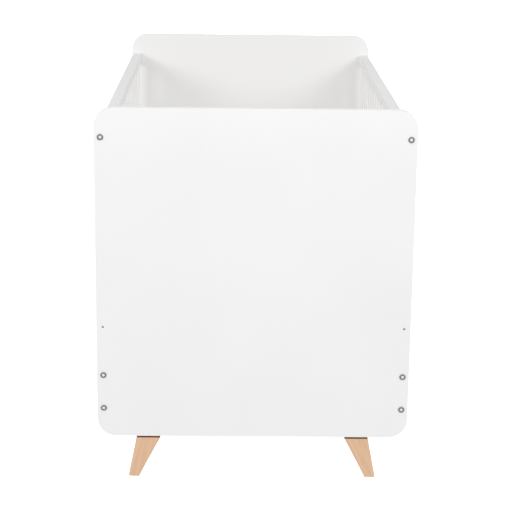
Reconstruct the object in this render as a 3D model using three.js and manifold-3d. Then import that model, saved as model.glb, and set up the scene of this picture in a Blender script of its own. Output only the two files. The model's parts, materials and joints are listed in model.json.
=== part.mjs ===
// Baby crib: two solid end panels with rounded corners, two slatted sides bolted
// between them, four splayed wedge legs and a slatted mattress base that hangs on
// four support bolts at one of three heights.
//
// Millimetres, +Z up. The origin lies on the floor under the middle of the crib.
// X runs across it (left is -X) and Y along it, from the foot end (-Y) to the
// head end (+Y).

import * as THREE from 'three';
import { mergeVertices } from 'three/addons/utils/BufferGeometryUtils.js';
import Module from 'manifold-3d';

const wasm = await Module();
wasm.setup();

// ---------------------------------------------------------------- driving dimensions

const LENGTH = 1440; // over both end panels
const WIDTH = 760; // across an end panel
const FLOOR_CLEARANCE = 111; // floor to the bottom edge of the end panels
const GAP = 0.3; // left between pieces that touch
const OVERRUN = 1; // how far a cutter runs past the face it starts from
const CURVE_SEGMENTS = 6; // per rounded corner, and per half of a hole
const ROUND_SEGMENTS = 12; // round a turned piece

const PANEL = {
  height: 814,
  thickness: 18,
  cornerRadius: 46,
};

const RAIL = {
  thickness: 28,
  inset: 2, // outer face to the side edge of the end panel
  grooveDepth: 6, // takes the ends of the slats
  topHeight: 24,
  topDrop: 61, // below the top edge of the end panels
  bottomHeight: 120,
  bottomRise: 55, // above the bottom edge of the end panels
};

const SLAT = {
  count: 18,
  width: 20, // along the crib
  thickness: 20, // across it
};

const BOLT = {
  shankRadius: 3,
  length: 70,
  headRadius: 7.5,
  headHeight: 2.4,
  headChamfer: 0.8,
  socketRadius: 2.2,
  socketDepth: 3,
  holeRadius: 3.5,
  holeDepth: 54, // into the rail
};
// heights above the bottom edge of the end panels
const TOP_BOLT_Z = PANEL.height - 70;
const LOWER_BOLT_ZS = [157.5, 73];
const SPARE_HOLE_Z = 279;
const SPARE_HOLE_RADIUS = 3;

const BARREL_NUT = {
  radius: 5,
  length: 16,
  setback: 42, // from the end of the rail to the middle of the nut
};

const LEG = {
  thickness: 36, // along the crib
  recess: 4, // behind the outer face of the end panel
  topWidth: 60,
  bottomWidth: 26,
  topOuterX: 284, // from the middle of the crib
  splay: 21.5, // outward, from top to bottom
  shadowGap: 5.5, // height of the rebate along the top of the outer face
  shadowDepth: 9,
};

const GLIDE = { radius: 9, height: 3 };

const BATTEN = { length: 620, thickness: 28, height: 45 };

const HANGER_BOLT = { radius: 4, inLeg: 25, inBatten: 30, holeSlack: 2 };

const BASE = {
  sideClearance: 4, // to the rails
  endClearance: 5, // to the end panels
  frameThickness: 20,
  frameHeight: 40,
  slatTop: 150, // lowest position, above the bottom edge of the end panels
  slatCount: 12,
  slatLength: 680,
  slatWidth: 70,
  slatThickness: 8,
  slatPitch: 118,
  tapeX: 290,
  tapeWidth: 25,
  tapeThickness: 1.5,
  heights: [0, 120, 240], // of the three positions, above the lowest
};

const HOOK = {
  x: 300,
  width: 44,
  thickness: 2.5,
  reach: 54, // above the support bolt, up the face of the base's end rail
  tail: 16, // below the support bolt
  slotRadius: 3.4,
};

const SUPPORT_BOLT = {
  z: 82, // above the bottom edge of the end panels, lowest position
  shankRadius: 3,
  headRadius: 7,
  headHeight: 3,
  headChamfer: 0.6,
  socketRadius: 2.2,
  socketDepth: 2,
  holeRadius: 3.5,
  holeDepth: 13,
  tipSlack: 1, // tip to the bottom of the hole
  headSlack: 0.5, // head to hook plate
};

// ---------------------------------------------------------------- derived dimensions

const INNER_LENGTH = LENGTH - 2 * PANEL.thickness;
const RAIL_LENGTH = INNER_LENGTH - 2 * GAP;
const SIDE_X = WIDTH / 2 - RAIL.inset - RAIL.thickness / 2;
const TOP_RAIL_Z = PANEL.height - RAIL.topDrop - RAIL.topHeight;
const SLAT_GAP = (INNER_LENGTH - SLAT.count * SLAT.width) / (SLAT.count + 1);
const LEG_HEIGHT = FLOOR_CLEARANCE - GLIDE.height - 2 * GAP;
const LEG_MIDDLE_Y = LEG.recess + LEG.thickness / 2;
const BATTEN_MIDDLE_Y = PANEL.thickness + GAP + BATTEN.thickness / 2;
const HANGER_X = LEG.topOuterX - LEG.topWidth / 2;
const GLIDE_X = LEG.topOuterX + LEG.splay - LEG.bottomWidth / 2;
const BASE_HALF_WIDTH = SIDE_X - RAIL.thickness / 2 - BASE.sideClearance;
const BASE_HALF_LENGTH = INNER_LENGTH / 2 - BASE.endClearance;
const FRAME_TOP = BASE.slatTop - BASE.slatThickness - GAP;
const FRAME_BOTTOM = FRAME_TOP - BASE.frameHeight;

// ---------------------------------------------------------------- materials

const COLOURS = {
  whiteLacquer: { color: 0xf1f1f1, roughness: 0.35, metalness: 0 },
  whitePaintedWood: { color: 0xeceded, roughness: 0.4, metalness: 0 },
  beech: { color: 0xddb998, roughness: 0.55, metalness: 0 },
  birch: { color: 0xe2cda6, roughness: 0.6, metalness: 0 },
  zinc: { color: 0x9a9b9d, roughness: 0.3, metalness: 1 },
  steel: { color: 0xb4b5b8, roughness: 0.35, metalness: 1 },
  nylon: { color: 0xe9e7e1, roughness: 0.5, metalness: 0 },
};

function piece(name, geometry, colour) {
  const mesh = new THREE.Mesh(geometry, new THREE.MeshStandardMaterial(COLOURS[colour]));
  mesh.name = name;
  return mesh;
}

// ---------------------------------------------------------------- solids

function toSolid(geometry) {
  const bare = geometry.clone();
  bare.deleteAttribute('normal');
  bare.deleteAttribute('uv');
  const merged = mergeVertices(bare);
  return new wasm.Manifold(new wasm.Mesh({
    numProp: 3,
    vertProperties: merged.attributes.position.array,
    triVerts: Uint32Array.from(merged.index.array),
  }));
}

function toGeometry(solid) {
  const mesh = solid.getMesh();
  const geometry = new THREE.BufferGeometry();
  geometry.setAttribute('position', new THREE.BufferAttribute(mesh.vertProperties, 3));
  geometry.setIndex(new THREE.BufferAttribute(mesh.triVerts, 1));
  geometry.computeVertexNormals();
  return geometry;
}

function cut(geometry, tools) {
  const solid = tools.reduce((rest, tool) => rest.subtract(toSolid(tool)), toSolid(geometry));
  return toGeometry(solid);
}

function join(geometries) {
  const solids = geometries.map(toSolid);
  return toGeometry(solids.reduce((sum, solid) => sum.add(solid)));
}

// A box from its lowest to its highest corner.
function box([x0, y0, z0], [x1, y1, z1]) {
  const geometry = new THREE.BoxGeometry(x1 - x0, y1 - y0, z1 - z0);
  return geometry.translate((x0 + x1) / 2, (y0 + y1) / 2, (z0 + z1) / 2);
}

// A cylinder along an axis, from one coordinate on it to another.
function rod(axis, radius, from, to) {
  const geometry = new THREE.CylinderGeometry(radius, radius, to - from, ROUND_SEGMENTS);
  geometry.translate(0, (from + to) / 2, 0);
  if (axis === 'x') geometry.rotateZ(-Math.PI / 2);
  if (axis === 'z') geometry.rotateX(Math.PI / 2);
  return geometry;
}

// A shape drawn in X and Z, given its depth along +Y.
function extrudeY(shape, depth) {
  const options = { depth, bevelEnabled: false, curveSegments: CURVE_SEGMENTS };
  const geometry = new THREE.ExtrudeGeometry(shape, options);
  return geometry.rotateX(Math.PI / 2).translate(0, depth, 0);
}

function polygon(points) {
  return new THREE.Shape(points.map(([x, y]) => new THREE.Vector2(x, y)));
}

function roundHole(x, y, radius) {
  return new THREE.Path().absarc(x, y, radius, 0, 2 * Math.PI);
}

// A machine screw along +Y with a flat head under y = 0 and a socket in the head.
function screw({ shankRadius, headRadius, headHeight, headChamfer, socketRadius, socketDepth }, length) {
  const profile = [
    [0, socketDepth - headHeight],
    [socketRadius, socketDepth - headHeight],
    [socketRadius, -headHeight],
    [headRadius - headChamfer, -headHeight],
    [headRadius, headChamfer - headHeight],
    [headRadius, -GAP],
    [shankRadius, -GAP],
    [shankRadius, length],
    [0, length],
  ];
  const points = profile.map(([radius, y]) => new THREE.Vector2(radius, y));
  return new THREE.LatheGeometry(points, ROUND_SEGMENTS);
}

// ---------------------------------------------------------------- ends
// Each end is drawn in its own frame: y = 0 on the outer face of its panel and +Y
// into the crib, z = 0 at the panel's bottom edge.

function roundedPanelShape() {
  const { height, cornerRadius: r } = PANEL;
  const half = WIDTH / 2;
  const shape = new THREE.Shape();
  shape.absarc(half - r, r, r, -Math.PI / 2, 0);
  shape.absarc(half - r, height - r, r, 0, Math.PI / 2);
  shape.absarc(r - half, height - r, r, Math.PI / 2, Math.PI);
  shape.absarc(r - half, r, r, Math.PI, 1.5 * Math.PI);
  return shape;
}

function endPanelGeometry() {
  const shape = roundedPanelShape();
  const supportHoles = [];
  for (const x of [-SIDE_X, SIDE_X]) {
    for (const z of [TOP_BOLT_Z, ...LOWER_BOLT_ZS]) {
      shape.holes.push(roundHole(x, z, BOLT.holeRadius));
    }
    shape.holes.push(roundHole(x, SPARE_HOLE_Z, SPARE_HOLE_RADIUS));
  }
  for (const x of [-HOOK.x, HOOK.x]) {
    for (const rise of BASE.heights) {
      const bottom = PANEL.thickness - SUPPORT_BOLT.holeDepth;
      const hole = rod('y', SUPPORT_BOLT.holeRadius, bottom, PANEL.thickness + OVERRUN);
      supportHoles.push(hole.translate(x, 0, SUPPORT_BOLT.z + rise));
    }
  }
  return cut(extrudeY(shape, PANEL.thickness), supportHoles);
}

function battenGeometry() {
  const half = BATTEN.length / 2;
  const back = PANEL.thickness + GAP;
  const board = box([-half, back, 0], [half, back + BATTEN.thickness, BATTEN.height]);
  const holes = [-HANGER_X, HANGER_X].map((x) => {
    const depth = HANGER_BOLT.inBatten + HANGER_BOLT.holeSlack;
    return rod('z', HANGER_BOLT.radius + GAP, -OVERRUN, depth).translate(x, BATTEN_MIDDLE_Y, 0);
  });
  return cut(board, holes);
}

function legGeometry(side) {
  const top = -GAP;
  const bottom = -GAP - LEG_HEIGHT;
  const bottomOuterX = LEG.topOuterX + LEG.splay;
  const outline = polygon([
    [side * (LEG.topOuterX - LEG.topWidth), top],
    [side * LEG.topOuterX, top],
    [side * bottomOuterX, bottom],
    [side * (bottomOuterX - LEG.bottomWidth), bottom],
  ]);
  const wedge = extrudeY(outline, LEG.thickness).translate(0, LEG.recess, 0);
  const depth = HANGER_BOLT.inLeg + HANGER_BOLT.holeSlack;
  const hole = rod('z', HANGER_BOLT.radius + GAP, -depth, OVERRUN);
  const rebate = box(
    [-WIDTH / 2, LEG.recess - OVERRUN, top - LEG.shadowGap],
    [WIDTH / 2, LEG.recess + LEG.shadowDepth, top + OVERRUN],
  );
  return cut(wedge, [hole.translate(side * HANGER_X, BATTEN_MIDDLE_Y, 0), rebate]);
}

function supportBoltGeometry() {
  const seat = BASE.endClearance - GAP + SUPPORT_BOLT.headSlack; // under the head, from the panel
  const length = seat + SUPPORT_BOLT.holeDepth - SUPPORT_BOLT.tipSlack;
  return screw(SUPPORT_BOLT, length).rotateZ(Math.PI).translate(0, PANEL.thickness + seat, 0);
}

// world: -1 at the foot end, whose frame isn't turned, and +1 at the head end.
function makeEnd(end, world) {
  const group = new THREE.Group();
  group.position.set(0, world * LENGTH / 2, FLOOR_CLEARANCE);
  group.rotation.z = world < 0 ? 0 : Math.PI;
  group.add(piece(`${end}_panel`, endPanelGeometry(), 'whiteLacquer'));
  group.add(piece(`${end}_batten`, battenGeometry(), 'birch'));
  for (const side of [-1, 1]) {
    const corner = `${end}_${side * world > 0 ? 'left' : 'right'}`;
    group.add(piece(`${corner}_leg`, legGeometry(side), 'beech'));

    const hanger = rod('z', HANGER_BOLT.radius, -HANGER_BOLT.inLeg, HANGER_BOLT.inBatten);
    const hangerBolt = piece(`${corner}_hanger_bolt`, hanger, 'steel');
    hangerBolt.position.set(side * HANGER_X, BATTEN_MIDDLE_Y, 0);
    group.add(hangerBolt);

    const glide = piece(`${corner}_glide`, rod('z', GLIDE.radius, 0, GLIDE.height), 'nylon');
    glide.position.set(side * GLIDE_X, LEG_MIDDLE_Y, -FLOOR_CLEARANCE);
    group.add(glide);

    const supportBolt = piece(`${corner}_support_bolt`, supportBoltGeometry(), 'zinc');
    supportBolt.position.set(side * HOOK.x, 0, SUPPORT_BOLT.z);
    group.add(supportBolt);

    const boltHeights = { top: TOP_BOLT_Z, middle: LOWER_BOLT_ZS[0], bottom: LOWER_BOLT_ZS[1] };
    for (const [place, z] of Object.entries(boltHeights)) {
      const bolt = piece(`${corner}_${place}_bolt`, screw(BOLT, BOLT.length), 'zinc');
      bolt.position.set(side * SIDE_X, 0, z);
      group.add(bolt);
    }
  }
  return group;
}

// ---------------------------------------------------------------- slatted sides
// Each side is drawn in its own frame: x = 0 in the middle of the rails and +X
// into the crib, z = 0 at the end panels' bottom edge.

function railShape(height, grooveUp) {
  const half = RAIL.thickness / 2;
  const groove = SLAT.thickness / 2 + GAP;
  const mouth = grooveUp ? height : 0;
  const floor = grooveUp ? height - RAIL.grooveDepth : RAIL.grooveDepth;
  const back = height - mouth;
  return polygon([
    [-half, back],
    [half, back],
    [half, mouth],
    [groove, mouth],
    [groove, floor],
    [-groove, floor],
    [-groove, mouth],
    [-half, mouth],
  ]);
}

// boltZs are measured from the rail's underside.
function railGeometry(height, grooveUp, boltZs) {
  const rail = extrudeY(railShape(height, grooveUp), RAIL_LENGTH).translate(0, -RAIL_LENGTH / 2, 0);
  const bores = [];
  const end = RAIL_LENGTH / 2;
  for (const z of boltZs) {
    bores.push(rod('y', BOLT.holeRadius, end - BOLT.holeDepth, end + OVERRUN).translate(0, 0, z));
    bores.push(rod('y', BOLT.holeRadius, -end - OVERRUN, BOLT.holeDepth - end).translate(0, 0, z));
    for (const y of [BARREL_NUT.setback - end, end - BARREL_NUT.setback]) {
      const nutBore = rod('x', BARREL_NUT.radius + GAP, -BARREL_NUT.length / 2 - GAP, RAIL.thickness);
      bores.push(nutBore.translate(0, y, z));
    }
  }
  return cut(rail, bores);
}

// The slats, with their ends in the rails' grooves, and the strips that fill the
// grooves between them.
function slatsGeometry() {
  const half = SLAT.thickness / 2;
  const end = RAIL_LENGTH / 2;
  const fill = RAIL.grooveDepth - GAP;
  const low = RAIL.bottomRise + RAIL.bottomHeight;
  const high = TOP_RAIL_Z;
  const pieces = [
    box([-half, -end, low - fill], [half, end, low]),
    box([-half, -end, high], [half, end, high + fill]),
  ];
  for (let i = 0; i < SLAT.count; i += 1) {
    const y = SLAT_GAP + i * (SLAT.width + SLAT_GAP) - INNER_LENGTH / 2;
    pieces.push(box([-half, y, low - fill], [half, y + SLAT.width, high + fill]));
  }
  return join(pieces);
}

function barrelNutGeometry() {
  const half = BARREL_NUT.length / 2;
  const reach = BARREL_NUT.radius + OVERRUN;
  const thread = rod('y', BOLT.shankRadius + GAP, -reach, reach);
  return cut(rod('x', BARREL_NUT.radius, -half, half), [thread]);
}

// world: -1 on the left, whose frame isn't turned, and +1 on the right.
function makeSide(side, world) {
  const group = new THREE.Group();
  group.position.set(world * SIDE_X, 0, FLOOR_CLEARANCE);
  group.rotation.z = world < 0 ? 0 : Math.PI;

  const topRail = railGeometry(RAIL.topHeight, false, [TOP_BOLT_Z - TOP_RAIL_Z]);
  const top = piece(`${side}_top_rail`, topRail, 'whitePaintedWood');
  top.position.z = TOP_RAIL_Z;
  group.add(top);

  const boltZs = LOWER_BOLT_ZS.map((z) => z - RAIL.bottomRise);
  const bottomRail = railGeometry(RAIL.bottomHeight, true, boltZs);
  const bottom = piece(`${side}_bottom_rail`, bottomRail, 'whitePaintedWood');
  bottom.position.z = RAIL.bottomRise;
  group.add(bottom);

  group.add(piece(`${side}_slats`, slatsGeometry(), 'whitePaintedWood'));

  const nutZs = { top: TOP_BOLT_Z, middle: LOWER_BOLT_ZS[0], bottom: LOWER_BOLT_ZS[1] };
  for (const [place, z] of Object.entries(nutZs)) {
    for (const along of [-1, 1]) {
      const end = along * world > 0 ? 'foot' : 'head';
      const nut = piece(`${end}_${side}_${place}_nut`, barrelNutGeometry(), 'steel');
      nut.position.set(0, along * (RAIL_LENGTH / 2 - BARREL_NUT.setback), z);
      group.add(nut);
    }
  }
  return group;
}

// ---------------------------------------------------------------- mattress base
// Drawn over the middle of the crib, z = 0 at the end panels' bottom edge.

function hookPlateGeometry() {
  const half = HOOK.width / 2;
  const shape = new THREE.Shape();
  shape.moveTo(-half, -HOOK.tail);
  shape.lineTo(-HOOK.slotRadius, -HOOK.tail);
  shape.absarc(0, 0, HOOK.slotRadius, Math.PI, 0, true);
  shape.lineTo(HOOK.slotRadius, -HOOK.tail);
  shape.lineTo(half, -HOOK.tail);
  shape.lineTo(half, HOOK.reach);
  shape.lineTo(-half, HOOK.reach);
  return extrudeY(shape, HOOK.thickness);
}

function baseSlatsGeometry() {
  const halfLength = BASE.slatLength / 2;
  const halfWidth = BASE.slatWidth / 2;
  const under = BASE.slatTop - BASE.slatThickness;
  const lastY = ((BASE.slatCount - 1) / 2) * BASE.slatPitch;
  const boards = [];
  for (let i = 0; i < BASE.slatCount; i += 1) {
    const y = i * BASE.slatPitch - lastY;
    boards.push(box([-halfLength, y - halfWidth, under], [halfLength, y + halfWidth, BASE.slatTop]));
  }
  for (const x of [-BASE.tapeX, BASE.tapeX]) {
    const halfTape = BASE.tapeWidth / 2;
    const low = [x - halfTape, -lastY, under - BASE.tapeThickness];
    boards.push(box(low, [x + halfTape, lastY, under + GAP]));
  }
  return join(boards);
}

function makeMattressBase() {
  const group = new THREE.Group();
  group.position.z = FLOOR_CLEARANCE;
  const innerX = BASE_HALF_WIDTH - BASE.frameThickness;
  const innerY = BASE_HALF_LENGTH - BASE.frameThickness;

  const longRail = box(
    [innerX, -BASE_HALF_LENGTH, FRAME_BOTTOM],
    [BASE_HALF_WIDTH, BASE_HALF_LENGTH, FRAME_TOP],
  );
  const endRail = box(
    [GAP - innerX, innerY, FRAME_BOTTOM],
    [innerX - GAP, BASE_HALF_LENGTH, FRAME_TOP],
  );
  for (const [name, geometry, turn] of [
    ['base_right_rail', longRail, 0],
    ['base_left_rail', longRail, Math.PI],
    ['base_head_rail', endRail, 0],
    ['base_foot_rail', endRail, Math.PI],
  ]) {
    const rail = piece(name, geometry, 'birch');
    rail.rotation.z = turn;
    group.add(rail);
  }
  group.add(piece('base_slats', baseSlatsGeometry(), 'birch'));

  for (const [end, along] of [['foot', -1], ['head', 1]]) {
    for (const [side, across] of [['left', -1], ['right', 1]]) {
      const plate = piece(`${end}_${side}_hook_plate`, hookPlateGeometry(), 'steel');
      const face = BASE_HALF_LENGTH + GAP;
      const y = along > 0 ? face : -face - HOOK.thickness;
      plate.position.set(across * HOOK.x, y, SUPPORT_BOLT.z);
      group.add(plate);
    }
  }
  return group;
}

// ---------------------------------------------------------------- the crib

const crib = new THREE.Group();
crib.add(makeEnd('foot', -1), makeEnd('head', 1));
crib.add(makeSide('left', -1), makeSide('right', 1));
crib.add(makeMattressBase());

export default crib;
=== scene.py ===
import json
import math

import bmesh
import bpy
from mathutils import Matrix, Vector


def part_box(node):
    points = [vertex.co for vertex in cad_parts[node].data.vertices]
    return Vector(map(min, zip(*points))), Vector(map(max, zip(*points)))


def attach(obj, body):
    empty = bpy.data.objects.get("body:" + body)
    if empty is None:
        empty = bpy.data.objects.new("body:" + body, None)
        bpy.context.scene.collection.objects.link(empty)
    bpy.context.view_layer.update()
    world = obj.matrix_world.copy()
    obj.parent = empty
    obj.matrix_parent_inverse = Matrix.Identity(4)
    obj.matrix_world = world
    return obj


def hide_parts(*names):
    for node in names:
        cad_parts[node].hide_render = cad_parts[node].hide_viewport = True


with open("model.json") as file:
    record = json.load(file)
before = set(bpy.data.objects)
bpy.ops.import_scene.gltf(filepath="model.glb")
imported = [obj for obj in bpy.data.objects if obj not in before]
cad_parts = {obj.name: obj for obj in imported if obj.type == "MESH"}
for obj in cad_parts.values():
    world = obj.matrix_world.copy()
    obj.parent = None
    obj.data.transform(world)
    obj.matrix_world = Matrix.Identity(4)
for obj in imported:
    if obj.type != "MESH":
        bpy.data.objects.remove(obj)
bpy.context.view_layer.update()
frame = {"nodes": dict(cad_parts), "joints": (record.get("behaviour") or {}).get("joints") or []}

# Baby crib. Every CAD node is stood for by a finer piece at the same place and of
# the same size, apart from the hidden hanger bolts, which only get their material.
# Metres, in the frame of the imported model: +Z up, foot end at -Y, left side at -X.

MM = 0.001
X, Y, Z = 0, 1, 2
FRAME_BODY = "crib_frame"
BASE_BODY = "mattress_base"
ENDS = {"foot": -1, "head": 1}
SIDES = {"left": -1, "right": 1}
CORNERS = [(end, side) for end in ENDS for side in SIDES]
BOLT_PLACES = ("top", "middle", "bottom")
RAIL_BOLTS = {"top": ("top",), "bottom": ("middle", "bottom")}
GAP = 0.3 * MM  # left between pieces that touch
BORE_SLACK = 2 * MM  # how far a bore runs past the bolt in it
CRISP_EDGE = 0.05 * MM  # for cutters that leave a sharp edge

# A name that ends in EDGE is the radius of a piece's rounded edges.
PANEL_CORNER = 46 * MM
PANEL_EDGE = 2.2 * MM
SPARE_HOLE_RISE = 279 * MM  # above the bottom edge of the end panels
SPARE_HOLE_RADIUS = 3 * MM
BOLT_HOLE_RADIUS = 3.5 * MM
INSERT_RADIUS = 5 * MM
INSERT_DEPTH = 13 * MM
BASE_TRAVEL = frame["joints"][0]["range_m"][1]
BASE_ROWS = (0, BASE_TRAVEL / 2, BASE_TRAVEL)  # heights over the lowest row of inserts

NUT_BORE_RADIUS = 5.3 * MM
NUT_THREAD_RADIUS = 3.3 * MM
NUT_SLOT_DEPTH = 1.4 * MM
NUT_SLOT_HALF_WIDTH = 0.6 * MM

RAIL_EDGE = 2.2 * MM
RAIL_END_EDGE = 0.4 * MM
GROOVE_EDGE = 0.5 * MM
SLAT_COUNT = 18
SLAT_WIDTH = 20 * MM
SLAT_EDGE = 1.5 * MM

LEG_TOP_WIDTH = 60 * MM
LEG_BOTTOM_WIDTH = 26 * MM
LEG_EDGE = 1.6 * MM
LEG_LEAN = math.radians(20)
REBATE_HEIGHT = 5.5 * MM  # of the step in the leg's outer face, under the panel
REBATE_DEPTH = 9 * MM
REBATE_EDGE = 0.4 * MM
HANGER_HOLE_RADIUS = 4.3 * MM
BATTEN_EDGE = 2 * MM
BATTEN_SCREW_COUNT = 5
BATTEN_SCREW_INSET = 35 * MM  # from the batten's ends

BASE_SLAT_COUNT = 12
BASE_SLAT_WIDTH = 70 * MM
BASE_SLAT_THICKNESS = 8 * MM
BASE_RAIL_EDGE = 2 * MM
BASE_SLAT_EDGE = 2.5 * MM
BASE_TAPE_X = 290 * MM
BASE_TAPE_WIDTH = 25 * MM
BASE_TAPE_EDGE = 0.6 * MM
BASE_TAPE_GAP = 0.05 * MM  # between a tape and the slats over it
STAPLE_LENGTH = 10 * MM
STAPLE_WIDTH = 1.2 * MM
STAPLE_HEIGHT = 1.2 * MM
STAPLE_EDGE = 0.25 * MM
STAPLE_SHIFT = 15 * MM  # from the middle of a slat

HOOK_CORNER = 6 * MM
HOOK_EDGE = 0.4 * MM
HOOK_SLOT_HALF_WIDTH = 3.4 * MM
HOOK_SCREW_SPOTS = [(x * MM, z * MM) for z in (20, 43) for x in (-13, 13)]  # from the bolt


# ---------------------------------------------------------------- shapes

def to_object(name, bm):
    """A new object in the scene from a bmesh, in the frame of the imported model."""
    mesh = bpy.data.meshes.new(name)
    bmesh.ops.recalc_face_normals(bm, faces=bm.faces)
    bm.to_mesh(mesh)
    bm.free()
    piece = bpy.data.objects.new(name, mesh)
    bpy.context.scene.collection.objects.link(piece)
    return piece


def round_edges(bm, edges, radius, segments=3):
    """Rounds edges, and marks the new faces in the attribute that the materials read."""
    rounded = bmesh.ops.bevel(
        bm, geom=list(edges), offset=radius, segments=segments, profile=0.5, affect="EDGES"
    )
    layer = bm.faces.layers.float["edge"]
    for face in rounded["faces"]:
        face[layer] = 1


def new_bmesh():
    """An empty bmesh with the attribute that marks rounded edges."""
    bm = bmesh.new()
    bm.faces.layers.float.new("edge")
    return bm


def place(axis, along, first, second):
    """A point from its coordinate on an axis and on the two others, in their order."""
    values = [first, second]
    values.insert(axis, along)
    return Vector(values)


def rounded_outline(corners, steps):
    """A closed outline with each corner, given as (x, y, radius), rounded by an arc."""
    outline = []
    for i, (x, y, radius) in enumerate(corners):
        corner = Vector((x, y))
        back = (Vector(corners[i - 1][:2]) - corner).normalized()
        ahead = (Vector(corners[(i + 1) % len(corners)][:2]) - corner).normalized()
        if radius == 0:
            outline.append(corner)
            continue
        half = back.angle(ahead) / 2
        centre = corner + (back + ahead).normalized() * radius / math.sin(half)
        start = corner + back * radius / math.tan(half) - centre
        end = corner + ahead * radius / math.tan(half) - centre
        turn = math.atan2(start.cross(end), start.dot(end))
        for step in range(steps + 1):
            outline.append(centre + Matrix.Rotation(turn * step / steps, 2) @ start)
    return outline


def rounded_plate(low, high, radius, steps):
    """The outline in X and Z of a plate between two corners, with its corners rounded."""
    corners = [(low.x, low.z), (high.x, low.z), (high.x, high.z), (low.x, high.z)]
    return rounded_outline([(*corner, radius) for corner in corners], steps)


def prism(name, axis, outline, low, high, edge, segments=3):
    """An outline across an axis, drawn out from low to high, with rounded rims."""
    bm = new_bmesh()
    ends = []
    rims = []
    for along in (low, high):
        end = [bm.verts.new(place(axis, along, *spot)) for spot in outline]
        rims.extend(bm.faces.new(end).edges)
        ends.append(end)
    for i in range(len(outline)):
        bm.faces.new((ends[0][i - 1], ends[0][i], ends[1][i], ends[1][i - 1]))
    round_edges(bm, rims, edge, segments)
    return to_object(name, bm)


def boards(name, spans, edge):
    """Blocks in one mesh, each between its lowest and highest corner, with round edges."""
    bm = new_bmesh()
    for low, high in spans:
        low, high = Vector(low), Vector(high)
        block = bmesh.ops.create_cube(bm, size=1)["verts"]
        bmesh.ops.scale(bm, vec=high - low, verts=block)
        bmesh.ops.translate(bm, vec=(low + high) / 2, verts=block)
    round_edges(bm, bm.edges, edge)
    return to_object(name, bm)


def board(name, low, high, edge):
    """One block between its lowest and highest corner, with round edges."""
    return boards(name, [(low, high)], edge)


def circle(angle):
    """Radius of a circle at an angle, as a share of its radius."""
    return 1


def hexagon(angle):
    """Radius of a hexagon at an angle, as a share of its radius to the flats."""
    sixth = math.pi / 3
    return 1 / math.cos((angle + sixth / 2) % sixth - sixth / 2)


def cross(angle):
    """Radius of a cross recess at an angle, as a share of its radius at the tips."""
    return 0.42 + 0.58 * abs(math.cos(2 * angle)) ** 6


def turned(name, axis, centre, profile, direction=1, segments=48):
    """A body round an axis. Its profile, in millimetres, starts and ends on the axis.

    Each point is (radius, distance from the centre) and may name its ring's shape."""
    bm = bmesh.new()
    rings = []
    for radius, along, *shape in profile:
        shape = shape[0] if shape else circle
        ring = []
        for i in range(segments if radius else 1):
            angle = 2 * math.pi * i / segments
            reach = radius * shape(angle) * MM
            spot = (reach * math.cos(angle), reach * math.sin(angle))
            ring.append(bm.verts.new(Vector(centre) + place(axis, direction * along * MM, *spot)))
        rings.append(ring)
    for first, second in zip(rings, rings[1:]):
        for i in range(segments):
            spots = ((first, i - 1), (first, i), (second, i), (second, i - 1))
            corners = [ring[index % len(ring)] for ring, index in spots]
            bm.faces.new(dict.fromkeys(corners))
    return to_object(name, bm)


def sleeve(name, axis, centre, profile, direction=1, segments=48):
    """A body with a bore round an axis, whose profile, in millimetres, closes on itself."""
    bm = bmesh.new()
    loops = []
    for radius, along in profile:
        spots = []
        for i in range(segments):
            angle = 2 * math.pi * i / segments
            spot = (radius * MM * math.cos(angle), radius * MM * math.sin(angle))
            spots.append(bm.verts.new(centre + place(axis, direction * along * MM, *spot)))
        loops.append(spots)
    for first, second in zip(loops, loops[1:] + loops[:1]):
        for i in range(segments):
            bm.faces.new((first[i - 1], first[i], second[i], second[i - 1]))
    return to_object(name, bm)


def carve(piece, cutters):
    """Cuts the cutters out of the piece and removes them."""
    for cutter in cutters:
        cut = piece.modifiers.new("cut", "BOOLEAN")
        cut.operation = "DIFFERENCE"
        cut.solver = "EXACT"
        cut.object = cutter
    depsgraph = bpy.context.evaluated_depsgraph_get()
    carved = bpy.data.meshes.new_from_object(piece.evaluated_get(depsgraph))
    piece.modifiers.clear()
    piece.data = carved
    for cutter in cutters:
        bpy.data.objects.remove(cutter)
    return piece


def drill(axis, centre, radius, low, high):
    """A cutter for a round hole, from low to high along an axis."""
    centre = Vector(centre)
    centre[axis] = 0
    profile = [(0, low / MM), (radius / MM, low / MM), (radius / MM, high / MM), (0, high / MM)]
    return turned("cutter", axis, centre, profile)


def finish_piece(piece, material, slot, body, *nodes):
    """Shading, material and body of a piece, and the nodes it stands for. The slot is not used."""
    for polygon in piece.data.polygons:
        polygon.use_smooth = True
    piece.data.set_sharp_from_angle(angle=math.radians(40))
    normals = piece.modifiers.new("normals", "WEIGHTED_NORMAL")
    normals.keep_sharp = True
    piece.data.materials.clear()
    piece.data.materials.append(material)
    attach(piece, body)
    if nodes:
        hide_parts(*nodes)
    return piece


def tone_inside(piece, material, low, high):
    """Gives a second material to the faces of a piece whose middle is in a box."""
    piece.data.materials.append(material)
    for polygon in piece.data.polygons:
        spot = polygon.center
        if all(low[axis] - GAP < spot[axis] < high[axis] + GAP for axis in (X, Y, Z)):
            polygon.material_index = 1


def middle(node):
    """The middle of a CAD node's box."""
    low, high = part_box(node)
    return (low + high) / 2


def face_of(node, axis, sign):
    """Where the box of a CAD node ends along an axis, on its low (-1) or high (1) side."""
    low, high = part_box(node)
    return low[axis] if sign < 0 else high[axis]


def spaced(first, last, count):
    """Evenly spaced numbers from first to last."""
    return [first + i * (last - first) / (count - 1) for i in range(count)]


# ---------------------------------------------------------------- material nodes

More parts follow.
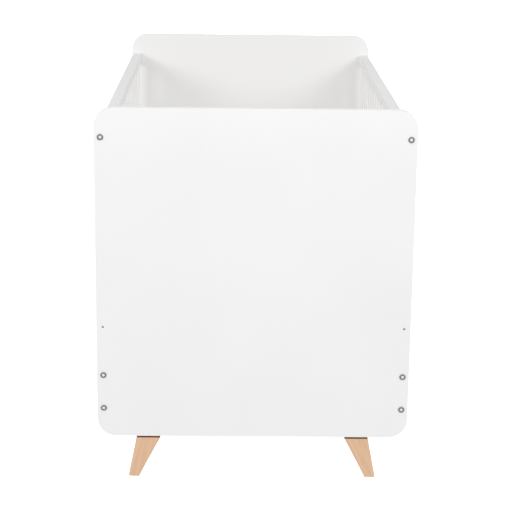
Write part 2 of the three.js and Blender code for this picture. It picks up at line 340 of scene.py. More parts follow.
class Nodes:
    """A material's node tree, with short calls for the nodes used here."""

    def __init__(self, name):
        self.material = bpy.data.materials.new(name)
        self.material.use_nodes = True
        self.tree = self.material.node_tree
        self.shader = self.tree.nodes["Principled BSDF"]

    def add(self, kind, **settings):
        """A new node of a kind, with its settings."""
        node = self.tree.nodes.new(kind)
        for name, value in settings.items():
            setattr(node, name, value)
        return node

    def feed(self, value, socket):
        """Sets a socket to a number or colour, or links another node's output to it."""
        if isinstance(value, bpy.types.NodeSocket):
            self.tree.links.new(value, socket)
        elif isinstance(value, tuple) and len(value) == 3 and socket.type == "RGBA":
            socket.default_value = (*value, 1)
        else:
            socket.default_value = value

    def shade(self, **values):
        """Feeds the shader's sockets, named with _ for each space."""
        for name, value in values.items():
            self.feed(value, self.shader.inputs[name.replace("_", " ")])

    def coordinates(self, stretch=(1, 1, 1), turn=(0, 0, 0)):
        """Object coordinates in metres, turned and then stretched."""
        vector = self.add("ShaderNodeTexCoord").outputs["Object"]
        for name, value in (("Rotation", turn), ("Scale", stretch)):
            mapping = self.add("ShaderNodeMapping")
            mapping.inputs[name].default_value = value
            self.feed(vector, mapping.inputs["Vector"])
            vector = mapping.outputs["Vector"]
        return vector

    def noise(self, vector, scale, detail=3, roughness=0.55):
        """Soft blotches, from 0 to 1. The scale is in blotches per metre."""
        node = self.add("ShaderNodeTexNoise")
        for name, value in (("Vector", vector), ("Scale", scale), ("Detail", detail)):
            self.feed(value, node.inputs[name])
        self.feed(roughness, node.inputs["Roughness"])
        return node.outputs["Fac"]

    def wave(self, vector, scale, direction="X", distortion=0, detail=0, detail_scale=1):
        """Bands across a direction, from 0 to 1."""
        node = self.add("ShaderNodeTexWave", wave_type="BANDS", bands_direction=direction)
        for name, value in (("Vector", vector), ("Scale", scale), ("Distortion", distortion)):
            self.feed(value, node.inputs[name])
        self.feed(detail, node.inputs["Detail"])
        self.feed(detail_scale, node.inputs["Detail Scale"])
        return node.outputs["Fac"]

    def math(self, operation, first, second):
        """The result of an operation on two numbers."""
        node = self.add("ShaderNodeMath", operation=operation)
        self.feed(first, node.inputs[0])
        self.feed(second, node.inputs[1])
        return node.outputs[0]

    def spread(self, source, low, high, start=0.0, end=1.0):
        """A number that goes from low to high as source goes from start to end."""
        node = self.add("ShaderNodeMapRange")
        limits = {"From Min": start, "From Max": end, "To Min": low, "To Max": high}
        for name, value in limits.items():
            node.inputs[name].default_value = value
        self.feed(source, node.inputs["Value"])
        return node.outputs["Result"]

    def mix(self, amount, first, second):
        """The first colour where amount is 0, the second where it is 1."""
        node = self.add("ShaderNodeMix", data_type="RGBA")
        for index, value in ((0, amount), (6, first), (7, second)):
            self.feed(value, node.inputs[index])
        return node.outputs[2]

    def edges(self, breakup):
        """1 on rounded edges, broken up by a noise, and 0 elsewhere."""
        node = self.add("ShaderNodeAttribute", attribute_name="edge")
        return self.math("MULTIPLY", node.outputs["Fac"], self.spread(breakup, 0.2, 1, 0.35, 0.65))

    def bump(self, height, distance, below=None):
        """The normal of a relief of a given depth, on top of another one if given."""
        node = self.add("ShaderNodeBump")
        self.feed(distance, node.inputs["Distance"])
        self.feed(height, node.inputs["Height"])
        if below is not None:
            self.feed(below, node.inputs["Normal"])
        return node.outputs["Normal"]


def linear(red, green, blue):
    """A colour given in 0-255 as on a screen, as the shader wants it."""
    def channel(value):
        value /= 255
        return value / 12.92 if value <= 0.04045 else ((value + 0.055) / 1.055) ** 2.4
    return tuple(channel(value) for value in (red, green, blue))


def drawn_out(axis, share):
    """A stretch that draws a pattern out along an axis."""
    return tuple(share if i == axis else 1 for i in (X, Y, Z))


# ---------------------------------------------------------------- materials

def white_lacquer(name, axis=None):
    """Sprayed satin lacquer. On wood, where an axis is given, the grain just shows."""
    m = Nodes(name)
    space = m.coordinates()
    drift = m.noise(space, 3, detail=2)
    specks = m.noise(space, 240, detail=4, roughness=0.7)
    tone = m.mix(m.spread(drift, 0, 1, 0.3, 0.7), linear(240, 240, 240), linear(243, 243, 243))
    tone = m.mix(m.spread(specks, 0, 0.25, 0.55, 0.75), tone, linear(232, 231, 229))
    tone = m.mix(m.math("MULTIPLY", m.edges(specks), 0.35), tone, linear(232, 231, 228))
    peel = m.bump(m.noise(space, 420, detail=2), 0.02 * MM)
    if axis is not None:
        fibre = m.noise(m.coordinates(drawn_out(axis, 0.03)), 900, detail=4, roughness=0.6)
        tone = m.mix(m.spread(fibre, 0, 0.35, 0.45, 0.7), tone, linear(231, 230, 227))
        peel = m.bump(fibre, 0.05 * MM, peel)
    m.shade(Base_Color=tone, Roughness=m.spread(specks, 0.5, 0.66, 0.3, 0.7), Normal=peel)
    m.shade(IOR=1.5, Specular_IOR_Level=0.22)
    return m.material


def wood(name, axis, light, dark, fleck, lean=0, fleck_share=0.5):
    """Clear-lacquered wood with its grain along an axis, leaning in the X-Z plane."""
    m = Nodes(name)
    turn = (0, lean, 0)
    wide = m.coordinates(drawn_out(axis, 0.12), turn)
    fine = m.coordinates(drawn_out(axis, 0.025), turn)
    short = m.coordinates(drawn_out(axis, 0.16), turn)
    bands = m.wave(wide, 38, "DIAGONAL", distortion=7, detail=2, detail_scale=1.4)
    fibre = m.noise(fine, 1100, detail=4, roughness=0.6)
    drift = m.noise(wide, 22, detail=2)
    flecks = m.spread(m.noise(short, 1500, detail=1), 0, 1, 0.6, 0.7)
    grain = m.math("ADD", m.math("MULTIPLY", bands, 0.32), m.math("MULTIPLY", fibre, 0.42))
    grain = m.math("ADD", grain, m.math("MULTIPLY", drift, 0.36))
    tone = m.mix(m.spread(grain, 0, 1, 0.3, 0.8), dark, light)
    tone = m.mix(m.math("MULTIPLY", flecks, fleck_share), tone, fleck)
    tone = m.mix(m.math("MULTIPLY", m.edges(drift), 0.3), tone, light)
    bumps = m.bump(fibre, 0.06 * MM, m.bump(flecks, -0.05 * MM))
    m.shade(Base_Color=tone, Roughness=m.spread(fibre, 0.42, 0.62, 0.3, 0.7), Normal=bumps)
    m.shade(IOR=1.47, Specular_IOR_Level=0.4)
    return m.material


def beech(name, axis, lean=0):
    """Pale pinkish wood with the short dark flecks of beech."""
    light, dark, fleck = linear(229, 193, 161), linear(221, 181, 146), linear(192, 146, 108)
    return wood(name, axis, light, dark, fleck, lean)


def shade_painted_beech(name, axis):
    """The leg's wood inside the rebate, toned dark brown as painted shade, so that the rebate
    reads as a deep shadow line.
    """
    light, dark, fleck = linear(152, 93, 54), linear(136, 79, 43), linear(108, 60, 30)
    return wood(name, axis, light, dark, fleck)


def birch(name, axis):
    """Nearly white wood with faint flecks."""
    light, dark, fleck = linear(240, 233, 220), linear(231, 221, 203), linear(205, 185, 158)
    return wood(name, axis, light, dark, fleck, fleck_share=0.25)


def plated_metal(name, tone, roughness):
    """Plated steel, with faint blotches in the plating and fine turning marks."""
    m = Nodes(name)
    space = m.coordinates()
    blotch = m.noise(space, 500, detail=3)
    scratch = m.noise(m.coordinates(drawn_out(Z, 0.08)), 4000, detail=2)
    bright = tuple(min(1, value * 1.25) for value in tone)
    m.shade(Base_Color=m.mix(m.spread(blotch, 0, 1, 0.35, 0.65), tone, bright), Metallic=1.0)
    m.shade(Roughness=m.spread(blotch, roughness * 0.8, roughness * 1.3, 0.3, 0.7))
    m.shade(Normal=m.bump(scratch, 0.01 * MM))
    return m.material


def powder_coat(name):
    """Light grey powder coat with its fine orange peel."""
    m = Nodes(name)
    space = m.coordinates()
    peel = m.noise(space, 1500, detail=2)
    tone = m.mix(m.spread(peel, 0, 1, 0.3, 0.7), linear(196, 197, 199), linear(205, 206, 208))
    tone = m.mix(m.math("MULTIPLY", m.edges(peel), 0.5), tone, linear(150, 151, 154))
    m.shade(Base_Color=tone, Roughness=m.spread(peel, 0.42, 0.58, 0.3, 0.7))
    m.shade(Normal=m.bump(peel, 0.04 * MM), Specular_IOR_Level=0.5)
    return m.material


def moulded_plastic(name, tone):
    """Moulded white plastic with a fine spark-eroded texture."""
    m = Nodes(name)
    space = m.coordinates()
    grain = m.noise(space, 2500, detail=3, roughness=0.7)
    dull = tuple(value * 0.93 for value in tone)
    m.shade(Base_Color=m.mix(m.spread(grain, 0, 1, 0.3, 0.7), dull, tone))
    m.shade(Roughness=m.spread(grain, 0.4, 0.55, 0.3, 0.7), Normal=m.bump(grain, 0.03 * MM))
    return m.material


def woven_tape(name):
    """Plain-woven cotton tape: yarns along Y, over and under yarns along X."""
    m = Nodes(name)
    space = m.coordinates()
    warp = m.wave(space, 260, "X")
    weft = m.wave(space, 190, "Y")
    weave = m.math("MULTIPLY", warp, weft)
    fuzz = m.noise(space, 3000, detail=4, roughness=0.7)
    tone = m.mix(m.spread(weave, 0, 1, 0.1, 0.8), linear(196, 192, 182), linear(233, 231, 224))
    tone = m.mix(m.spread(fuzz, 0, 0.4, 0.5, 0.8), tone, linear(214, 209, 198))
    m.shade(Base_Color=tone, Roughness=m.spread(fuzz, 0.75, 0.95, 0.3, 0.7), Sheen_Weight=0.3)
    m.shade(Normal=m.bump(weave, 0.35 * MM, m.bump(fuzz, 0.08 * MM)))
    return m.material


PANEL_LACQUER = white_lacquer("white_lacquer_board")
RAIL_LACQUER = white_lacquer("white_lacquer_rail", Y)
SLAT_LACQUER = white_lacquer("white_lacquer_slat", Z)
LEG_BEECH = {side: beech(f"beech_{side}", Z, out * LEG_LEAN) for side, out in SIDES.items()}
# Painted shade: a dark beech for the faces of the legs' rebates, standing in for the deep shadow
# there.
REBATE_PAINTED_SHADE = shade_painted_beech("beech_rebate_painted_shade", X)
BATTEN_BEECH = beech("beech_batten", X)
BIRCH = {X: birch("birch_across", X), Y: birch("birch_along", Y)}
ZINC = plated_metal("zinc_plate", linear(147, 148, 151), 0.34)
BRIGHT_ZINC = plated_metal("bright_zinc", linear(186, 187, 190), 0.3)
POWDER = powder_coat("powder_coat")
PLUG_PLASTIC = moulded_plastic("plug_plastic", linear(240, 240, 238))
NYLON = moulded_plastic("nylon", linear(232, 229, 220))
TAPE = woven_tape("woven_tape")


# ---------------------------------------------------------------- end panels

def outer_face(end):
    """Y of the outer face of an end panel."""
    return face_of(f"{end}_panel", Y, ENDS[end])


def inner_face(end):
    """Y of the inner face of an end panel."""
    return face_of(f"{end}_panel", Y, -ENDS[end])


def insert_spots(end, side):
    """Where the threaded inserts for the support bolts are, in X and Z."""
    spot = middle(f"{end}_{side}_support_bolt")
    return [(spot.x, spot.z + rise) for rise in BASE_ROWS]


def make_end_panel(end):
    """A solid board, drilled for its bolts and inserts, with two spare holes."""
    low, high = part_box(f"{end}_panel")
    outline = rounded_plate(low, high, PANEL_CORNER, steps=16)
    panel = prism(f"{end}_panel_board", Y, outline, low.y, high.y, PANEL_EDGE, segments=4)
    through = (low.y - PANEL_EDGE, high.y + PANEL_EDGE)
    face = inner_face(end)
    blind = sorted((face - ENDS[end] * PANEL_EDGE, face + ENDS[end] * INSERT_DEPTH))
    cutters = []
    for side in SIDES:
        for spot in BOLT_PLACES:
            bolt = middle(f"{end}_{side}_{spot}_bolt")
            cutters.append(drill(Y, bolt, BOLT_HOLE_RADIUS, *through))
        cutters.append(spare_hole(end, side))
        for x, z in insert_spots(end, side):
            cutters.append(drill(Y, (x, 0, z), INSERT_RADIUS, *blind))
    carve(panel, cutters)
    finish_piece(panel, PANEL_LACQUER, "end_panel", FRAME_BODY, f"{end}_panel")


def spare_hole(end, side):
    """A cutter for a spare hole through a panel, with a slight countersink at each face."""
    low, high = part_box(f"{end}_panel")
    radius = SPARE_HOLE_RADIUS / MM
    thickness = (high.y - low.y) / MM
    sink = 0.6  # depth of the countersinks, in millimetres
    centre = (middle(f"{end}_{side}_top_bolt").x, low.y, low.z + SPARE_HOLE_RISE)
    wide = radius + 2 * sink
    profile = [(0, -sink), (wide, -sink), (radius, sink)]
    profile += [(radius, thickness - sink), (wide, thickness + sink), (0, thickness + sink)]
    return turned("cutter", Y, centre, profile)


def make_inserts(end):
    """Threaded inserts for the support bolts, flush with the panel's inner face."""
    profile = [(4.9, 0.3), (4.6, 0), (3.7, 0), (3.3, 0.4), (3.3, 12), (4.9, 12)]
    for side in SIDES:
        for row, (x, z) in enumerate(insert_spots(end, side), start=1):
            centre = Vector((x, inner_face(end), z))
            insert = sleeve(f"{end}_{side}_insert_{row}", Y, centre, profile, ENDS[end])
            finish_piece(insert, BRIGHT_ZINC, "support_bolt", FRAME_BODY)


# ---------------------------------------------------------------- bolts and screws

# Profiles are in millimetres: radius, then distance from the face that the head is on.

def make_connector_bolt(end, side, spot):
    """Connector bolt with a dished flat head, its socket closed by a white plug."""
    node = f"{end}_{side}_{spot}_bolt"
    centre = middle(node)
    centre.y = outer_face(end)
    inward = -ENDS[end]
    profile = [(0, 0.9), (2.1, 0.8, hexagon), (2.1, -1.1, hexagon), (3.6, -1.1), (3.6, -2.0)]
    profile += [(3.9, -2.3), (5.2, -2.35), (6.5, -2.4), (7.1, -2.2), (7.45, -1.7), (7.5, -1.2)]
    profile += [(7.5, -0.3), (7.3, -0.02), (3, -0.02), (3, 69.2), (2.3, 70), (0, 70)]
    bolt = turned(f"{node}_turned", Y, centre, profile, inward)
    finish_piece(bolt, ZINC, "connector_bolt", FRAME_BODY, node)
    profile = [(0, 0.6), (1.8, 0.5, hexagon), (1.9, -1.0, hexagon), (3.3, -1.0), (3.45, -1.2)]
    profile += [(3.45, -1.9), (3.2, -2.15), (2.2, -2.3), (1, -2.36), (0, -2.38)]
    plug = turned(f"{node}_plug", Y, centre, profile, inward)
    finish_piece(plug, PLUG_PLASTIC, "connector_bolt", FRAME_BODY)


def make_support_bolt(end, side):
    """Socket screw in the panel's inner face, on which a hook plate hangs."""
    node = f"{end}_{side}_support_bolt"
    low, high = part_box(node)
    centre = middle(node)
    centre.y = face_of(node, Y, -ENDS[end])
    length = (high.y - low.y) / MM
    profile = [(0, 2.2), (2.2, 2.0, hexagon), (2.2, 0.35, hexagon), (2.5, 0, hexagon)]
    profile += [(5.6, 0), (6.5, 0.25), (6.95, 0.8), (7, 1.4), (7, 2.7), (6.8, 2.95), (3, 3)]
    profile += [(3, length - 0.8), (2.3, length), (0, length)]
    bolt = turned(f"{node}_turned", Y, centre, profile, ENDS[end])
    finish_piece(bolt, BRIGHT_ZINC, "support_bolt", FRAME_BODY, node)


def make_barrel_nut(end, side, spot):
    """Barrel nut across the rail, with a slot in its end for turning it in line."""
    node = f"{end}_{side}_{spot}_nut"
    low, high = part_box(node)
    centre = middle(node)
    half = (high.x - low.x) / MM / 2
    radius = (high.z - low.z) / MM / 2
    profile = [(0, -half), (radius - 0.5, -half), (radius, 0.5 - half)]
    profile += [(radius, half - 0.5), (radius - 0.5, half), (0, half)]
    nut = turned(f"{node}_turned", X, centre, profile)
    reach = 2 * radius * MM
    thread = drill(Y, centre, NUT_THREAD_RADIUS, centre.y - reach, centre.y + reach)
    mouth = Vector((face_of(node, X, -SIDES[side]), centre.y, centre.z))
    slot_half = Vector((NUT_SLOT_DEPTH, reach, NUT_SLOT_HALF_WIDTH))
    slot = board("cutter", mouth - slot_half, mouth + slot_half, CRISP_EDGE)
    carve(nut, [thread, slot])
    finish_piece(nut, BRIGHT_ZINC, "barrel_nut", FRAME_BODY, node)


def countersunk_screw(name, axis, centre, direction, body, slot, radius=3.5):
    """A wood screw, its head just proud of the surface, with a cross recess."""
    profile = [(0, 1.2), (0.5 * radius, 0.9, cross), (0.6 * radius, -0.2, cross)]
    profile += [(0.9 * radius, -0.2), (radius, -0.05), (radius, 0.1)]
    profile += [(0.5 * radius, 0.7 * radius), (0.45 * radius, 15), (0, 19)]
    screw = turned(name, axis, centre, profile, direction)
    finish_piece(screw, BRIGHT_ZINC, slot, body)


def paint_hanger_bolt(end, side):
    """The hanger bolt is out of sight, so its CAD node stays, in plated steel."""
    node = frame["nodes"][f"{end}_{side}_hanger_bolt"]
    node.data.materials.clear()
    node.data.materials.append(BRIGHT_ZINC)


# ---------------------------------------------------------------- legs and battens

def make_leg(end, side):
    """A splayed wedge of beech, rebated at the top, with painted shade on the rebate's faces so
    that a dark line shows.
    """
    node = f"{end}_{side}_leg"
    low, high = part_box(node)
    out = SIDES[side]
    bottom_outer = face_of(node, X, out)
    top_inner = face_of(node, X, -out)
    corners = [
        (top_inner, high.z, 0),
        (top_inner + out * LEG_TOP_WIDTH, high.z, 0),
        (bottom_outer, low.z, LEG_EDGE),
        (bottom_outer - out * LEG_BOTTOM_WIDTH, low.z, LEG_EDGE),
    ]
    outline = rounded_outline(corners, steps=4)
    leg = prism(f"{node}_wedge", Y, outline, low.y, high.y, LEG_EDGE)
    face = face_of(node, Y, ENDS[end])
    rebate_low = (low.x - REBATE_DEPTH, face - REBATE_DEPTH, high.z - REBATE_HEIGHT)
    rebate_high = (high.x + REBATE_DEPTH, face + REBATE_DEPTH, high.z + REBATE_HEIGHT)
    rebate = board("cutter", rebate_low, rebate_high, REBATE_EDGE)
    bolt = f"{end}_{side}_hanger_bolt"
    tip = face_of(bolt, Z, -1) - BORE_SLACK
    bore = drill(Z, middle(bolt), HANGER_HOLE_RADIUS, tip, high.z + BORE_SLACK)
    carve(leg, [rebate, bore])
    finish_piece(leg, LEG_BEECH[side], "leg", FRAME_BODY, node)
    # The rebate's faces get the dark beech: painted shade for the deep shadow under the panel.
    tone_inside(leg, REBATE_PAINTED_SHADE, rebate_low, rebate_high)


def make_glide(end, side):
    """A nylon glide, nailed under the leg through its dished middle."""
    node = f"{end}_{side}_glide"
    low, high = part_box(node)
    centre = middle(node)
    centre.z = high.z
    radius = (high.x - low.x) / MM / 2
    height = (high.z - low.z) / MM
    profile = [(0, 0), (radius, 0), (radius, 0.6 * height), (radius - 0.5, 0.9 * height)]
    profile += [(radius - 1.4, height), (3.2, height), (2.6, 0.7 * height), (0, 0.7 * height)]
    glide = turned(f"{node}_moulded", Z, centre, profile, -1)
    finish_piece(glide, NYLON, "glide", FRAME_BODY, node)
    nail_height = 0.9 * MM  # of the rim of its head over the floor
    centre.z = low.z + nail_height
    profile = [(0, -0.5), (1.2, -0.4), (1.9, 0), (1.2, 0.1), (1.2, 9), (0, 10)]
    nail = turned(f"{node}_nail", Z, centre, profile)
    finish_piece(nail, BRIGHT_ZINC, "glide", FRAME_BODY)


def make_batten(end):
    """The batten behind an end panel that the legs' hanger bolts go into."""
    node = f"{end}_batten"
    low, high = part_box(node)
    batten = board(f"{node}_planed", low, high, BATTEN_EDGE)
    bores = []
    for side in SIDES:
        bolt = f"{end}_{side}_hanger_bolt"
        tip = face_of(bolt, Z, 1) + BORE_SLACK
        bores.append(drill(Z, middle(bolt), HANGER_HOLE_RADIUS, low.z - BORE_SLACK, tip))
    carve(batten, bores)
    finish_piece(batten, BATTEN_BEECH, "batten", FRAME_BODY, node)
    first, last = low.x + BATTEN_SCREW_INSET, high.x - BATTEN_SCREW_INSET
    for i, x in enumerate(spaced(first, last, BATTEN_SCREW_COUNT), start=1):
        spot = (x, face_of(node, Y, -ENDS[end]), middle(node).z)
        countersunk_screw(f"{node}_screw_{i}", Y, spot, ENDS[end], FRAME_BODY, "batten")


# ---------------------------------------------------------------- slatted sides

def rail_bores(end, side, spot, rail):
    """Cutters for a bolt along a rail, and for its nut, from the rail's inner face."""
    bolt = f"{end}_{side}_{spot}_bolt"
    nut = f"{end}_{side}_{spot}_nut"
    out = SIDES[side]
    start = face_of(bolt, Y, -1) - BORE_SLACK
    stop = face_of(bolt, Y, 1) + BORE_SLACK
    bolt_bore = drill(Y, middle(bolt), BOLT_HOLE_RADIUS, start, stop)
    mouth = face_of(rail, X, -out) - out * MM
    blind = face_of(nut, X, out) + out * GAP
    nut_bore = drill(X, middle(nut), NUT_BORE_RADIUS, *sorted((mouth, blind)))
    return [bolt_bore, nut_bore]


def make_rail(side, level):
    """A rail with its groove for the slats and the bores for the barrel nuts."""
    node = f"{side}_{level}_rail"
    low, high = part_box(node)
    slats_low, slats_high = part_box(f"{side}_slats")
    groove_low, groove_high = slats_low.x - GAP, slats_high.x + GAP
    top = level == "top"
    back, mouth = (high.z, low.z) if top else (low.z, high.z)
    floor = slats_high.z + GAP if top else slats_low.z - GAP
    corners = [
        (low.x, back, RAIL_EDGE),
        (high.x, back, RAIL_EDGE),
        (high.x, mouth, RAIL_EDGE),
        (groove_high, mouth, GROOVE_EDGE),
        (groove_high, floor, 0),
        (groove_low, floor, 0),
        (groove_low, mouth, GROOVE_EDGE),
        (low.x, mouth, RAIL_EDGE),
    ]
    outline = rounded_outline(corners, steps=6)
    rail = prism(f"{node}_planed", Y, outline, low.y, high.y, RAIL_END_EDGE)
    cutters = []
    for end in ENDS:
        for spot in RAIL_BOLTS[level]:
            cutters += rail_bores(end, side, spot, node)
    carve(rail, cutters)
    finish_piece(rail, RAIL_LACQUER, "side_rail", FRAME_BODY, node)


def slat_spans():
    """The stretches along Y that the slats of a side take up."""
    low, high = inner_face("foot"), inner_face("head")
    gap = (high - low - SLAT_COUNT * SLAT_WIDTH) / (SLAT_COUNT + 1)
    starts = [low + gap + i * (SLAT_WIDTH + gap) for i in range(SLAT_COUNT)]
    return [(start, start + SLAT_WIDTH) for start in starts]


def make_slats(side):
    """The slats, and the strips that fill the rails' grooves between them."""
    node = f"{side}_slats"
    low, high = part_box(node)
    spans = slat_spans()
    for i, (start, stop) in enumerate(spans, start=1):
        corners = (low.x, start, low.z), (high.x, stop, high.z)
        slat = board(f"{side}_slat_{i:02}", *corners, SLAT_EDGE)
        finish_piece(slat, SLAT_LACQUER, "slats", FRAME_BODY, node)
    starts = [low.y] + [stop + GAP / 2 for start, stop in spans]
    stops = [start - GAP / 2 for start, stop in spans] + [high.y]
    in_bottom_rail = (low.z, face_of(f"{side}_bottom_rail", Z, 1) - GAP)
    in_top_rail = (face_of(f"{side}_top_rail", Z, -1) + GAP, high.z)
    blocks = []
    for start, stop in zip(starts, stops):
        for lower, upper in (in_bottom_rail, in_top_rail):
            blocks.append(((low.x, start, lower), (high.x, stop, upper)))
    fillers = boards(f"{side}_groove_fillers", blocks, GROOVE_EDGE)
    finish_piece(fillers, SLAT_LACQUER, "slats", FRAME_BODY, node)


# ---------------------------------------------------------------- mattress base

def make_base_frame():
    """Four rails, the long ones screwed to the ends of the short ones."""
    for name, axis in (("left", Y), ("right", Y), ("head", X), ("foot", X)):
        node = f"base_{name}_rail"
        rail = board(f"{node}_planed", *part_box(node), BASE_RAIL_EDGE)
        finish_piece(rail, BIRCH[axis], "base_frame", BASE_BODY, node)
    shares = (0.28, 0.72)  # of the long rail's height, where its screws are
    for end, side in CORNERS:
        low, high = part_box(f"base_{side}_rail")
        x = face_of(f"base_{side}_rail", X, SIDES[side])
        y = middle(f"base_{end}_rail").y
        for i, share in enumerate(shares, start=1):
            spot = (x, y, low.z + share * (high.z - low.z))
            name = f"base_{end}_{side}_screw_{i}"
            countersunk_screw(name, X, spot, -SIDES[side], BASE_BODY, "base_frame")


def make_base_slats():
    """Slats stapled on two tapes. The first and last are screwed to the long rails."""
    low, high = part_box("base_slats")
    half = BASE_SLAT_WIDTH / 2
    under = high.z - BASE_SLAT_THICKNESS
    middles = spaced(low.y + half, high.y - half, BASE_SLAT_COUNT)
    for i, y in enumerate(middles, start=1):
        corners = (low.x, y - half, under), (high.x, y + half, high.z)
        slat = board(f"base_slat_{i:02}", *corners, BASE_SLAT_EDGE)
        finish_piece(slat, BIRCH[X], "base_slats", BASE_BODY, "base_slats")
    for side, out in SIDES.items():
        x = out * BASE_TAPE_X
        tape_low = (x - BASE_TAPE_WIDTH / 2, middles[0], low.z)
        tape_high = (x + BASE_TAPE_WIDTH / 2, middles[-1], under - BASE_TAPE_GAP)
        tape = board(f"base_{side}_tape", tape_low, tape_high, BASE_TAPE_EDGE)
        finish_piece(tape, TAPE, "base_slats", BASE_BODY, "base_slats")
        make_slat_screws(side, middles, high.z)
    make_staples(middles, low.z)


def make_slat_screws(side, middles, face):
    """Two screws through each of the first and the last slat, into a long rail."""
    inset = 4 * MM  # from the middle of the rail, towards the middle of the base
    shift = 0.25 * BASE_SLAT_WIDTH
    x = middle(f"base_{side}_rail").x - SIDES[side] * inset
    for end, y in (("foot", middles[0]), ("head", middles[-1])):
        for i, across in enumerate((-shift, shift), start=1):
            name = f"base_{end}_{side}_slat_screw_{i}"
            spot = (x, y + across, face)
            countersunk_screw(name, Z, spot, -1, BASE_BODY, "base_slats", radius=3)


def make_staples(middles, under):
    """Two staples where a slat crosses a tape, but only one where a tape ends."""
    half = Vector((STAPLE_LENGTH / 2, STAPLE_WIDTH / 2, STAPLE_HEIGHT / 2))
    wires = []
    for x in (-BASE_TAPE_X, BASE_TAPE_X):
        for slat_y in middles:
            for y in (slat_y - STAPLE_SHIFT, slat_y + STAPLE_SHIFT):
                if middles[0] < y < middles[-1]:
                    centre = Vector((x, y, under + half.z))
                    wires.append((centre - half, centre + half))
    staples = boards("base_tape_staples", wires, STAPLE_EDGE)
    finish_piece(staples, BRIGHT_ZINC, "base_slats", BASE_BODY)


def make_hook_plate(end, side):
    """A plate screwed to the base's end rail, its slot open below for the support bolt."""
    node = f"{end}_{side}_hook_plate"
    low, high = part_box(node)
    bolt = middle(f"{end}_{side}_support_bolt")
    outline = rounded_plate(low, high, HOOK_CORNER, steps=8)
    plate = prism(f"{node}_pressed", Y, outline, low.y, high.y, HOOK_EDGE)
    half = HOOK_SLOT_HALF_WIDTH
    radius = half * 0.999  # a hair less, so that the two arcs at its top don't meet
    slot = rounded_outline([
        (bolt.x - half, low.z - MM, 0),
        (bolt.x + half, low.z - MM, 0),
        (bolt.x + half, bolt.z + half, radius),
        (bolt.x - half, bolt.z + half, radius),
    ], steps=12)
    carve(plate, [prism("cutter", Y, slot, low.y - MM, high.y + MM, CRISP_EDGE)])
    finish_piece(plate, POWDER, "hook_plate", BASE_BODY, node)
    face = face_of(node, Y, ENDS[end])
    for i, (across, up) in enumerate(HOOK_SCREW_SPOTS, start=1):
        spot = (bolt.x + across, face, bolt.z + up)
        countersunk_screw(f"{node}_screw_{i}", Y, spot, -ENDS[end], BASE_BODY, "hook_plate")


# ---------------------------------------------------------------- the crib

def make_crib():
    """Every piece of the crib."""
    for end in ENDS:
        make_end_panel(end)
        make_inserts(end)
        make_batten(end)
    for end, side in CORNERS:
        make_leg(end, side)
        make_glide(end, side)
        make_support_bolt(end, side)
        make_hook_plate(end, side)
        paint_hanger_bolt(end, side)
        for spot in BOLT_PLACES:
            make_connector_bolt(end, side, spot)
            make_barrel_nut(end, side, spot)
    for side in SIDES:
        make_rail(side, "top")
        make_rail(side, "bottom")
        make_slats(side)
    make_base_frame()
    make_base_slats()


# ---------------------------------------------------------------- stage

CAMERA_PLACE = (-0.0528, -4.2755, 1.5210)
CAMERA_HEADING = math.radians(0.905)  # to the right of +Y
CAMERA_PITCH = math.radians(14.96)  # down
CAMERA_ROLL = math.radians(0.705)
CAMERA_LENS = 108.56
CAMERA_SENSOR = 36
CAMERA_FAR_LIMIT = 200
FLOOR_RADIUS = 50
FLOOR_GLOW = 0.88
BACKDROP_RADIUS = 70
ROOM_GLOW = 0.63
LAMP_TARGET = Vector((0, 0, 0.6))

# Each lamp: azimuth (0 at the foot end, 90 on the right) and elevation in degrees,
# distance, width and height in metres, power in watts, and whether reflections show it.
LAMPS = {
    "front_left_light": (-35, 18, 8, 3, 2, 136, True),
    "front_right_light": (26, 20, 8, 3, 2, 130, True),
    "left_light": (-90, 35, 4, 2.5, 1.5, 15, False),
    "right_light": (90, 35, 4, 2.5, 1.5, 15, False),
    "back_light": (180, 12, 4.6, 2.5, 1.5, 42, False),
    "top_edge_light": (0, 33.7, 1.26, 1, 0.2, 0.36, False),
}


def make_camera():
    """The camera, in front of the foot end, higher than it and a little to its left."""
    camera = bpy.data.objects.new("camera", bpy.data.cameras.new("camera"))
    camera.data.sensor_width = CAMERA_SENSOR
    camera.data.lens = CAMERA_LENS
    camera.data.clip_end = CAMERA_FAR_LIMIT
    heading = Matrix.Rotation(-CAMERA_HEADING, 4, "Z")
    pitch = Matrix.Rotation(math.pi / 2 - CAMERA_PITCH, 4, "X")
    roll = Matrix.Rotation(CAMERA_ROLL, 4, "Z")
    camera.matrix_world = Matrix.Translation(CAMERA_PLACE) @ heading @ pitch @ roll
    bpy.context.scene.collection.objects.link(camera)
    bpy.context.scene.camera = camera


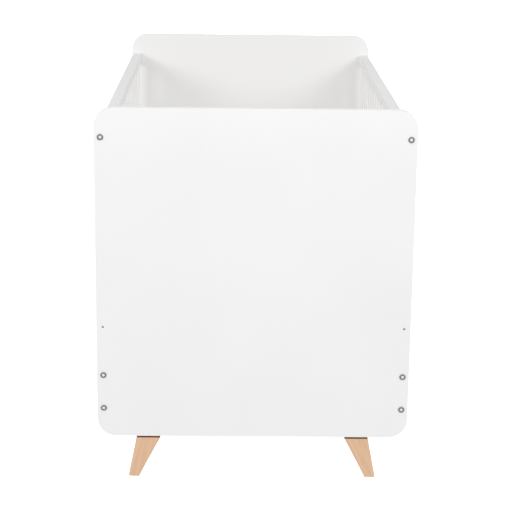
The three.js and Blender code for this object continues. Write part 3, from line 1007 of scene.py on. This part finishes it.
def make_floor():
    """A pale floor, lit from inside like a studio table. It lights no piece of the crib."""
    bm = bmesh.new()
    bmesh.ops.create_circle(bm, cap_ends=True, segments=96, radius=FLOOR_RADIUS)
    floor = to_object("floor", bm)
    m = Nodes("floor")
    drift = m.noise(m.coordinates(), 0.6, detail=2)
    tone = m.mix(m.spread(drift, 0, 1, 0.3, 0.7), linear(244, 244, 244), linear(247, 247, 247))
    m.shade(Base_Color=tone, Roughness=0.8, Specular_IOR_Level=0.2)
    m.shade(Emission_Color=(1, 1, 1), Emission_Strength=FLOOR_GLOW)
    floor.data.materials.append(m.material)
    floor.visible_diffuse = False
    floor.visible_glossy = False


def make_backdrop():
    """A white shell far round the studio, which only the camera sees."""
    bm = bmesh.new()
    bmesh.ops.create_icosphere(bm, subdivisions=4, radius=BACKDROP_RADIUS)
    backdrop = to_object("backdrop", bm)
    m = Nodes("backdrop")
    m.shade(Base_Color=(0, 0, 0), Emission_Color=(1, 1, 1), Emission_Strength=1.0)
    backdrop.data.materials.append(m.material)
    for ray in ("diffuse", "glossy", "transmission", "shadow"):
        setattr(backdrop, f"visible_{ray}", False)


def make_world():
    """An even white glow from all round."""
    world = bpy.data.worlds.new("studio")
    world.use_nodes = True
    background = world.node_tree.nodes["Background"]
    background.inputs["Color"].default_value = (1, 1, 1, 1)
    background.inputs["Strength"].default_value = ROOM_GLOW
    bpy.context.scene.world = world


def make_lamp(name, azimuth, elevation, distance, width, height, power, glossy):
    """A softbox that faces the crib."""
    light = bpy.data.lights.new(name, "AREA")
    light.shape = "RECTANGLE"
    light.size = width
    light.size_y = height
    light.energy = power
    lamp = bpy.data.objects.new(name, light)
    turn, tilt = math.radians(azimuth), math.radians(elevation)
    level = math.cos(tilt)
    back = Vector((math.sin(turn) * level, -math.cos(turn) * level, math.sin(tilt)))
    lamp.location = LAMP_TARGET + back * distance
    lamp.rotation_euler = back.to_track_quat("Z", "Y").to_euler()
    lamp.visible_camera = False
    lamp.visible_glossy = glossy
    bpy.context.scene.collection.objects.link(lamp)


def make_stage():
    """Camera, floor, backdrop, glow and lamps."""
    make_camera()
    make_floor()
    make_backdrop()
    make_world()
    for name, settings in LAMPS.items():
        make_lamp(name, *settings)
    bpy.context.scene.view_settings.view_transform = "Standard"


make_crib()
make_stage()
